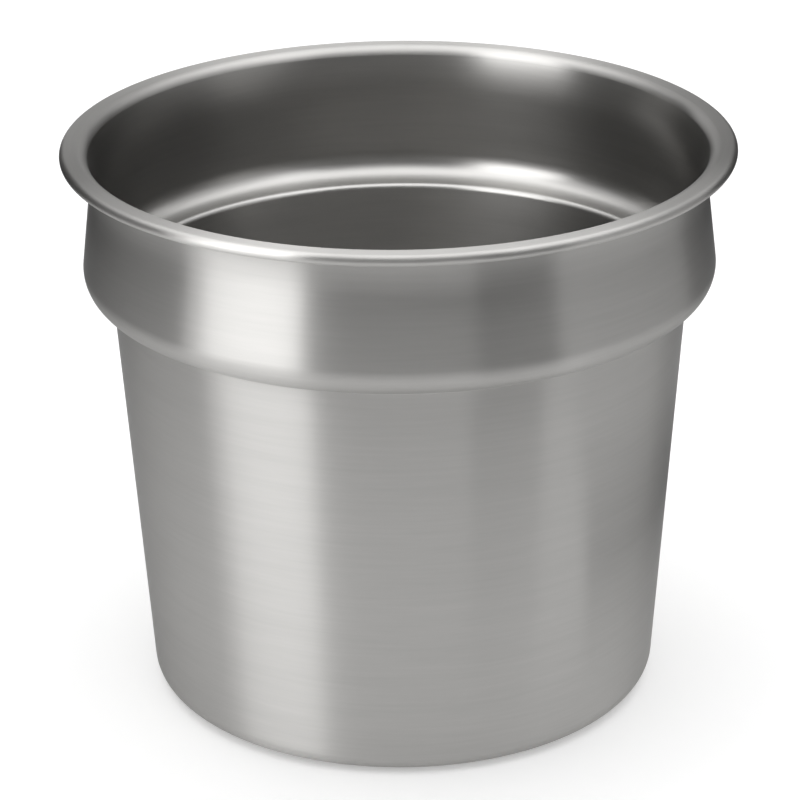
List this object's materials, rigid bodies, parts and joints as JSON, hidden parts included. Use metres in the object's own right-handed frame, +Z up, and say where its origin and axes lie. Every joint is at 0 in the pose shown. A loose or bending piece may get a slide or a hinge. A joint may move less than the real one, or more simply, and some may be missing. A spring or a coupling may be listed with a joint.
{
  "type": "soup kettle inset pot",
  "caption": "Round drop-in stainless pot for a soup kettle, with a tapered wall, a stepped reverse-tapered upper band and a lip with a rolled edge that hangs it in the kettle.",
  "frame": {"origin": "middle of the base's underside, on the table", "axes": "+Z up along the pot's axis of symmetry; X and Y are alike"},
  "size_m": [0.24, 0.24, 0.2054],
  "materials": {
    "satin_stainless": "satin, finely brushed round the axis"
  },
  "bodies": {
    "root": {"inset_pot": "satin_stainless"}
  },
  "joints": []
}
